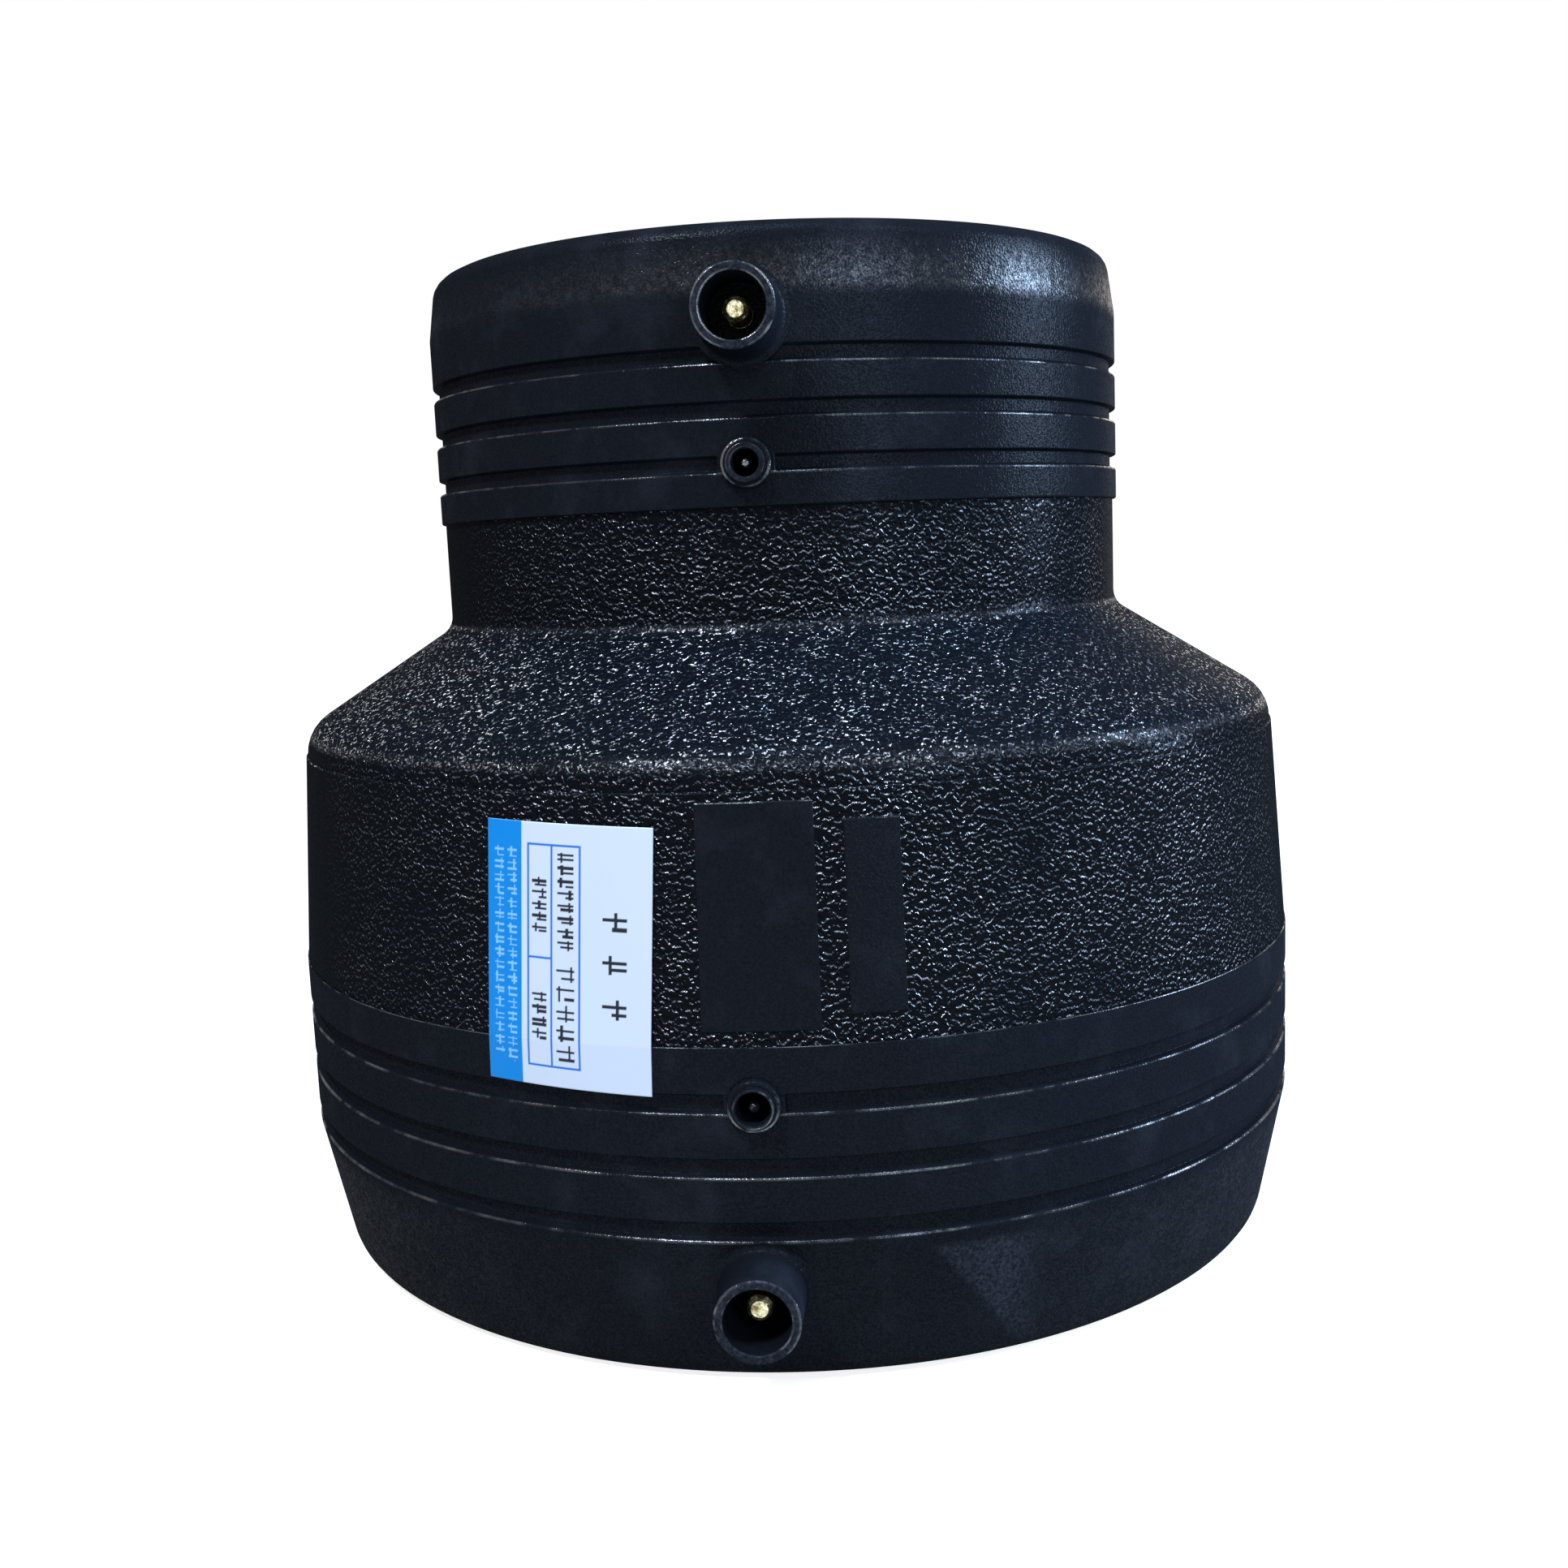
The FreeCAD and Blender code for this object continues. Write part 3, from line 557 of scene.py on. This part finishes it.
half_width, half_height = label_size / 2
u = np.linspace(-half_width, half_width, int(label_size[0] / cell) + 1)
v = np.linspace(-half_height, half_height, int(label_size[1] / cell) + 1)
v_grid, u_grid = np.meshgrid(v, u, indexing="ij")
front_sheet = label_sheet(u_grid, v_grid, label_gap + label_thickness)
back_sheet = label_sheet(u_grid, v_grid, label_gap)
rows, cols = u_grid.shape
index = np.arange(rows * cols).reshape(rows, cols)


def sheet_quads(index):
    """Quads of an open grid of point numbers, turned to face the side from which its columns run right."""
    return np.stack([index[:-1, :-1], index[:-1, 1:], index[1:, 1:], index[1:, :-1]], axis=2).reshape(-1, 4)


rim = np.concatenate([index[0, :-1], index[:-1, -1], index[-1, :0:-1], index[:0:-1, 0]])
rim_after = np.roll(rim, -1)
edge_quads = np.stack([rim, rim + rows * cols, rim_after + rows * cols, rim_after], axis=1)
label_points = np.concatenate([front_sheet.reshape(-1, 3), back_sheet.reshape(-1, 3)])
label_faces = np.concatenate([sheet_quads(index), sheet_quads(index)[:, ::-1] + rows * cols, edge_quads])
sticker = smooth_piece("sticker", label_points, label_faces)

from_left = u_grid + half_width
from_top = half_height - v_grid


def ruled(left, right, top, bottom, thickness=0.36):
    """1 on the lines of a ruled box, given by its sides in millimetres from the sticker's top left."""
    outer = (from_left > left) & (from_left < right) & (from_top > top) & (from_top < bottom)
    inner = ((from_left > left + thickness) & (from_left < right - thickness)
             & (from_top > top + thickness) & (from_top < bottom - thickness))
    return outer & ~inner


def strokes(left, right, top, bottom, pitch, weight, seed):
    """1 on plain strokes that stand for a line of print running down the sticker, with no letter in it.

    Each pitch holds two bars across the line and one along it, at shares from the fraction of
    sin(12.99 number + 78.23 bar + seed) 43758.5.
    """
    inside = (from_left > left) & (from_left < right) & (from_top > top) & (from_top < bottom)
    number = np.floor((from_top - top) / pitch)
    along = (from_top - top) - number * pitch
    across = from_left - left
    share = [np.sin(12.99 * number + 78.23 * bar + seed) * 43758.5 % 1 for bar in range(4)]
    wide = right - left
    bars = np.abs(along - pitch * (0.15 + 0.2 * share[0])) < weight / 2
    bars |= (np.abs(along - pitch * (0.55 + 0.2 * share[1])) < weight / 2) & (across > wide * 0.5 * share[2])
    bars |= (np.abs(across - wide * (0.15 + 0.7 * share[3])) < weight / 2) & (along < pitch * 0.8)
    return inside & bars


print_colours = {"paper": "#C6C9CE", "band": "#0079BB", "pale": "#7FB2D6", "rules": "#1E67B4",
                 "black": "#15181E"}
ink = np.full(u_grid.shape + (4,), linear(print_colours["paper"]))
for place, colour in (
    (from_left < 6.2, "band"),
    (ruled(7.2, 16.4, 3.2, 37.5), "rules"),
    (ruled(7.2, 11.7, 3.2, 20.7), "rules"),
    (ruled(7.2, 11.7, 20.4, 37.5), "rules"),
    (strokes(1.2, 2.9, 4.0, 36.0, 1.95, 0.26, 1.0), "pale"),
    (strokes(3.6, 5.3, 4.0, 37.2, 1.95, 0.26, 2.0), "pale"),
    (strokes(12.5, 15.3, 4.3, 19.5, 1.9, 0.42, 3.0), "black"),
    (strokes(12.4, 15.5, 21.5, 36.8, 3.05, 0.42, 4.0), "black"),
    (strokes(8.1, 10.7, 8.3, 17.0, 1.75, 0.4, 5.0), "black"),
    (strokes(8.1, 10.7, 25.8, 33.4, 1.9, 0.4, 6.0), "black"),
    (strokes(20.0, 23.9, 12.9, 16.3, 3.4, 0.55, 7.0), "black"),
    (strokes(20.0, 23.9, 19.3, 23.0, 3.7, 0.55, 8.0), "black"),
    (strokes(20.0, 23.9, 26.0, 29.8, 3.8, 0.55, 9.0), "black"),
):
    ink[place] = linear(print_colours[colour])
field = sticker.data.attributes.new("printed_ink", "FLOAT_COLOR", "POINT")
bare = np.full(ink.shape, linear("#E4E6E8"))
field.data.foreach_set("color", np.concatenate([ink.ravel(), bare.ravel()]))

# Coated paper: matt white with a smooth face, so its fibres show only as a faint unevenness.
paper, tree, output = new_material("coated_paper_printed")
printed = add(tree, "Attribute", {"attribute_name": "printed_ink"}).outputs["Color"]
place = add(tree, "TexCoord").outputs["Object"]
fibres = add(tree, "TexNoise", {"Scale": 1800.0, "Detail": 4.0}, {"Vector": place}).outputs["Fac"]
relief = add(tree, "Bump", {"Strength": 0.3, "Distance": 0.00002}, {"Height": fibres}).outputs["Normal"]
shader = add(tree, "BsdfPrincipled", {"Roughness": 0.45, "Specular IOR Level": 0.2},
             {"Base Color": printed, "Normal": relief})
tree.links.new(output.inputs["Surface"], shader.outputs["BSDF"])
sticker.data.materials.append(paper)
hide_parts("label")
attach(sticker, "root")

# Studio: a plain pale floor under a white surround, and six soft lamps like those in the photograph: one high
# at each side, a broad one in front, a tall window at the right, one overhead and a faint one behind. The
# floor lies just under the large rim. It is as bright as the surround to the eye and to reflections, and
# mid grey to the lamps, so that it keeps the fitting's shadow and throws little light back.
floor_reach, floor_drop = 6.0, 0.0002
floor_mesh = bpy.data.meshes.new("floor")
floor_mesh.from_pydata([(x * floor_reach, y * floor_reach, -floor_drop)
                        for x, y in ((-1, -1), (1, -1), (1, 1), (-1, 1))], [], [(0, 1, 2, 3)])
floor = bpy.data.objects.new("floor", floor_mesh)
bpy.context.scene.collection.objects.link(floor)


def looked_at(tree):
    """1 for rays from the camera, from a reflection or through glass, and 0 for the light of the scene."""
    rays = add(tree, "LightPath").outputs
    mirrored = add(tree, "Math", {"operation": "MAXIMUM"},
                   {0: rays["Is Camera Ray"], 1: rays["Is Glossy Ray"]}).outputs[0]
    return add(tree, "Math", {"operation": "MAXIMUM"},
               {0: mirrored, 1: rays["Is Transmission Ray"]}).outputs[0]


floor_finish, tree, output = new_material("white_studio_floor")
paint = add(tree, "BsdfDiffuse", {"Color": linear("#A8A8A6")})
place = add(tree, "TexCoord").outputs["Object"]
away = add(tree, "VectorMath", {"operation": "LENGTH"}, {0: place}).outputs["Value"]
level = add(tree, "MapRange", {"From Min": 0.3, "From Max": 1.3, "To Min": 0.82, "To Max": 1.0},
            {"Value": away}).outputs[0]
level = add(tree, "Math", {"operation": "MULTIPLY"}, {0: looked_at(tree), 1: level}).outputs[0]
glow = add(tree, "Emission", {"Color": (1, 1, 1, 1)}, {"Strength": level})
both = add(tree, "AddShader", None, {0: paint.outputs[0], 1: glow.outputs[0]})
tree.links.new(output.inputs["Surface"], both.outputs[0])
floor_mesh.materials.append(floor_finish)

world = bpy.data.worlds.new("studio_surround")
bpy.context.scene.world = world
world.use_nodes = True
tree = world.node_tree
tree.nodes.clear()
level = add(tree, "MapRange", {"To Min": 0.1, "To Max": 1.0}, {"Value": looked_at(tree)}).outputs[0]
surround = add(tree, "Background", {"Color": (1, 1, 1, 1)}, {"Strength": level})
output = tree.nodes.new("ShaderNodeOutputWorld")
tree.links.new(output.inputs["Surface"], surround.outputs[0])


fitting_middle = 0.09


def lamp(name, azimuth, elevation, distance, width, height, power, colour):
    """A rectangular lamp aimed at the fitting's middle, at an azimuth from the terminals in degrees.

    It stands at the middle plus the distance times (sin a cos e, -cos a cos e, sin e).
    """
    light = bpy.data.lights.new(name, "AREA")
    light.shape = "RECTANGLE"
    light.size = width
    light.size_y = height
    light.energy = power
    light.color = linear(colour)[:3]
    azimuth, elevation = math.radians(azimuth), math.radians(elevation)
    away = Vector((math.sin(azimuth) * math.cos(elevation), -math.cos(azimuth) * math.cos(elevation),
                   math.sin(elevation)))
    holder = bpy.data.objects.new(name, light)
    holder.location = Vector((0, 0, fitting_middle)) + away * distance
    holder.rotation_euler = away.to_track_quat("Z", "Y").to_euler()
    bpy.context.scene.collection.objects.link(holder)


lamp("left_lamp", -33.9, 54.0, 1.2, 0.2, 0.2, 18.0, "#DCEAFF")
lamp("right_lamp", 54.1, 54.0, 1.2, 0.16, 0.16, 3.0, "#EAF2FF")
lamp("front_lamp", 32.0, 18.0, 1.2, 0.4, 0.6, 7.5, "#BAD4F8")
lamp("window_lamp", 95.0, 20.0, 1.3, 0.26, 0.8, 50.0, "#B4D2F8")
lamp("ceiling_lamp", 0.0, 78.0, 1.2, 0.4, 0.4, 9.0, "#B4D0F8")
lamp("back_lamp", 155.0, 4.0, 1.3, 0.4, 0.8, 6.0, "#FFF4E6")

# Camera: the photograph's own viewpoint, 332 mm from the fitting's axis, 4.3 degrees to the right of the
# terminals and 128 mm above the foot, tipped down by 8.2 degrees and rolled by 2.35 degrees.
stand_away, stand_height, stand_right = 331.886, 127.938, 4.32
stand = math.radians(stand_right)
turn_left = math.radians(-0.21 - stand_right)
tip_down = math.radians(8.24)
roll = math.radians(2.35)
focal_pixels, frame_pixels = 2043, 1932
forward = Vector((math.sin(turn_left) * math.cos(tip_down), math.cos(turn_left) * math.cos(tip_down),
                  -math.sin(tip_down)))
right = Vector((math.cos(turn_left), -math.sin(turn_left), 0))
down = forward.cross(right).normalized()
right, down = (math.cos(roll) * right + math.sin(roll) * down, math.cos(roll) * down - math.sin(roll) * right)
lens = bpy.data.cameras.new("camera")
lens.sensor_width = 36.0
lens.lens = lens.sensor_width * focal_pixels / frame_pixels
lens.clip_start = 0.01
camera = bpy.data.objects.new("camera", lens)
place = Vector((stand_away * math.sin(stand), -stand_away * math.cos(stand), stand_height)) * MM
axes = Matrix((right, -down, -forward)).transposed().to_4x4()
camera.matrix_world = Matrix.Translation(place) @ axes
bpy.context.scene.collection.objects.link(camera)
bpy.context.scene.camera = camera
bpy.context.scene.view_settings.view_transform = "Standard"
